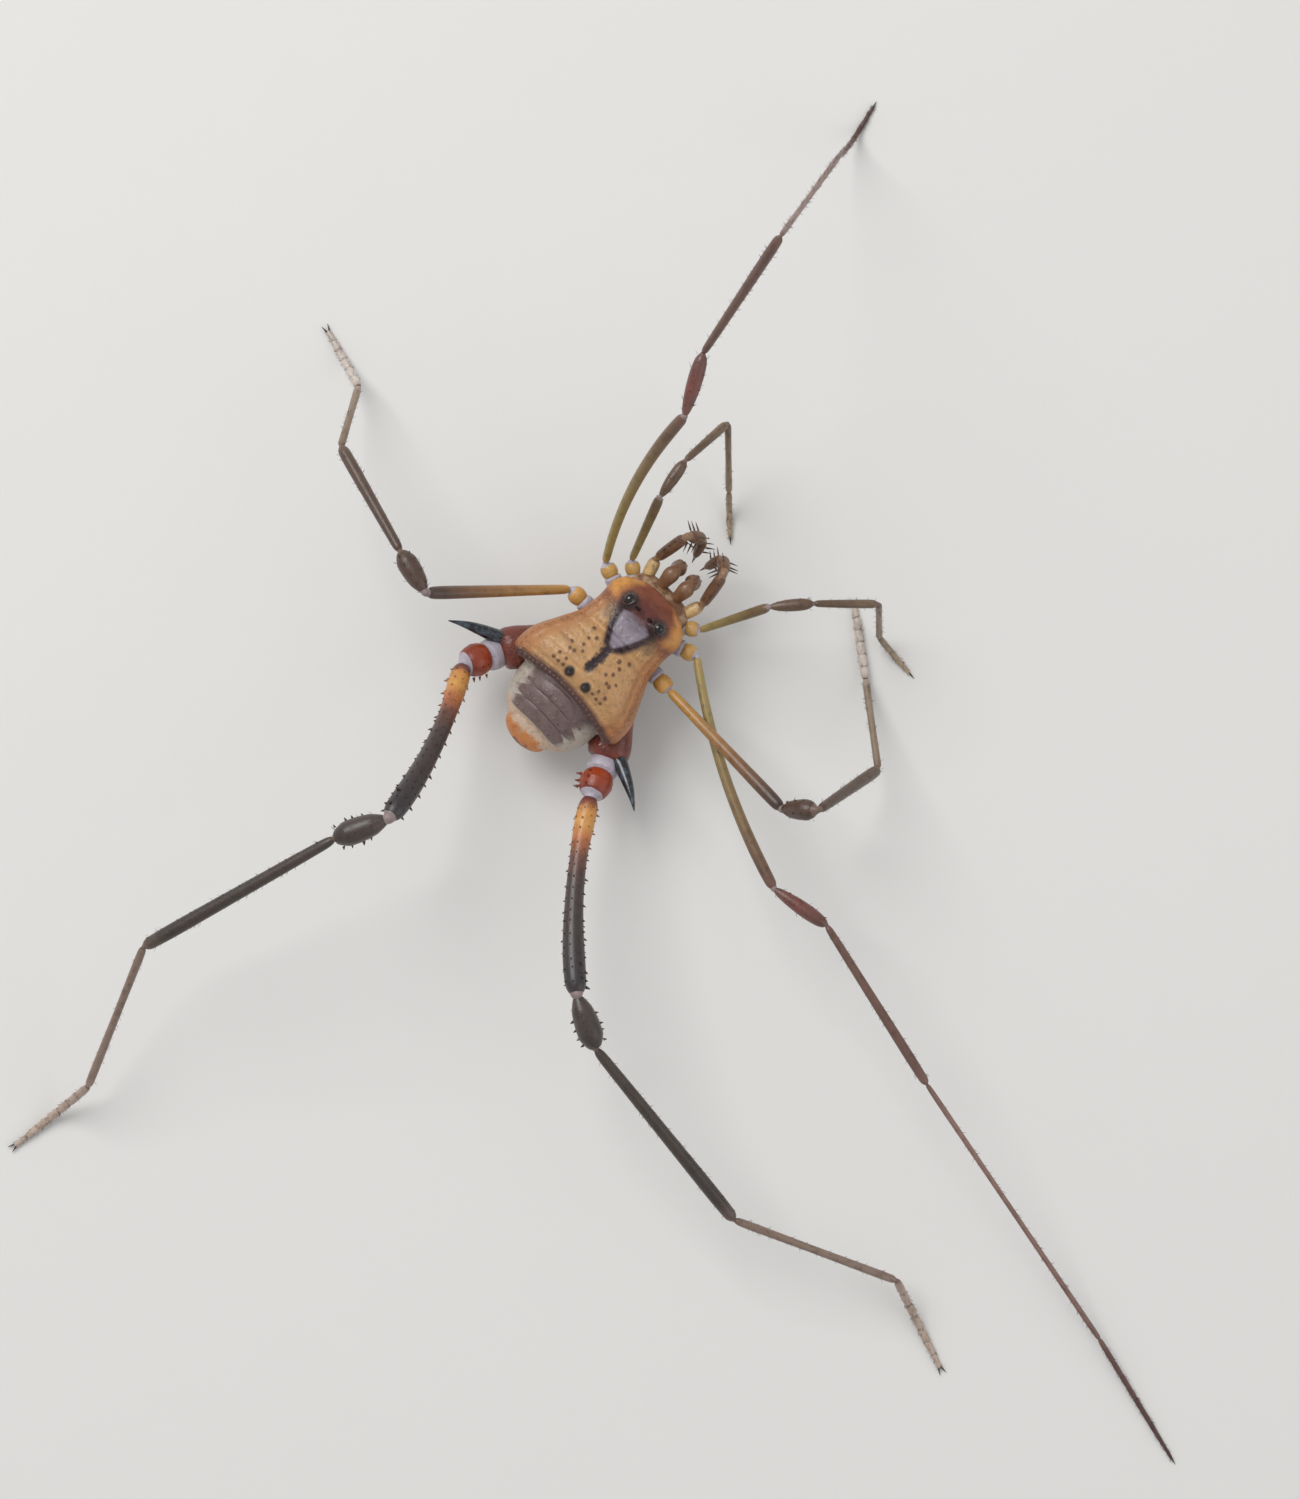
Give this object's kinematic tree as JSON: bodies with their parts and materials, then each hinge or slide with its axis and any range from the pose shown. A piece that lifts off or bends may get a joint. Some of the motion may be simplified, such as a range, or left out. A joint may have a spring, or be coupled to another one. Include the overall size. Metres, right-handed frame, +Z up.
{
  "type": "harvestman",
  "caption": "Armoured harvestman with a bell-shaped back plate, a large spine at each rear corner, spiny pedipalps and long jointed legs, standing still on the floor.",
  "frame": {"origin": "on the floor, below the middle of the bounding box of the whole animal, legs included", "axes": "+X to the animal's right, +Y forwards along its body, +Z up"},
  "size_m": [0.0658, 0.0632, 0.0199],
  "materials": {
    "scutum": "satin, tan with orange-brown edges",
    "venter": "satin, red-brown",
    "tergite": "satin, grey-brown with pale sides",
    "operculum": "satin, orange-brown",
    "eye": "polished black",
    "mouthpart": "satin, mottled olive brown",
    "coxa": "glossy, deep red-brown",
    "trochanter": "glossy, red-orange",
    "femur": "glossy, orange-yellow to blackish along its length",
    "patella": "glossy, dark brown",
    "tibia": "satin, dark brown",
    "metatarsus": "satin, grey-brown",
    "tarsus": "satin, pale brown",
    "spine": "glossy blue-black",
    "membrane": "soft sheen, off-white to lavender"
  },
  "bodies": {
    "root": {"scutum": "scutum", "venter": "venter", "free_tergite_1": "tergite", "free_tergite_2": "tergite", "free_tergite_3": "tergite", "anal_operculum": "operculum", "eye_left": "eye", "eye_right": "eye", "chelicera_left": "mouthpart", "chelicera_right": "mouthpart", "coxa_4_left": "coxa", "coxa_4_right": "coxa", "pedipalp_femur_left": "mouthpart", "pedipalp_femur_right": "mouthpart", "pedipalp_tibia_left": "mouthpart", "pedipalp_tibia_right": "mouthpart", "pedipalp_tarsus_left": "mouthpart", "pedipalp_tarsus_right": "mouthpart", "leg_1_left_femur": "femur", "leg_1_left_patella": "patella", "leg_1_left_tibia": "tibia", "leg_1_left_metatarsus": "metatarsus", "leg_1_left_tarsus": "tarsus", "leg_1_right_femur": "femur", "leg_1_right_patella": "patella", "leg_1_right_tibia": "tibia", "leg_1_right_metatarsus": "metatarsus", "leg_1_right_tarsus": "tarsus", "leg_2_left_femur": "femur", "leg_2_left_patella": "patella", "leg_2_left_tibia": "tibia", "leg_2_left_metatarsus": "metatarsus", "leg_2_left_tarsus": "tarsus", "leg_2_right_femur": "femur", "leg_2_right_patella": "patella", "leg_2_right_tibia": "tibia", "leg_2_right_metatarsus": "metatarsus", "leg_2_right_tarsus": "tarsus", "leg_3_left_femur": "femur", "leg_3_left_patella": "patella", "leg_3_left_tibia": "tibia", "leg_3_left_metatarsus": "metatarsus", "leg_3_left_tarsus": "tarsus", "leg_3_right_femur": "femur", "leg_3_right_patella": "patella", "leg_3_right_tibia": "tibia", "leg_3_right_metatarsus": "metatarsus", "leg_3_right_tarsus": "tarsus", "leg_4_left_trochanter": "trochanter", "leg_4_left_femur": "femur", "leg_4_left_patella": "patella", "leg_4_left_tibia": "tibia", "leg_4_left_metatarsus": "metatarsus", "leg_4_left_tarsus": "tarsus", "leg_4_right_trochanter": "trochanter", "leg_4_right_femur": "femur", "leg_4_right_patella": "patella", "leg_4_right_tibia": "tibia", "leg_4_right_metatarsus": "metatarsus", "leg_4_right_tarsus": "tarsus"}
  },
  "joints": []
}
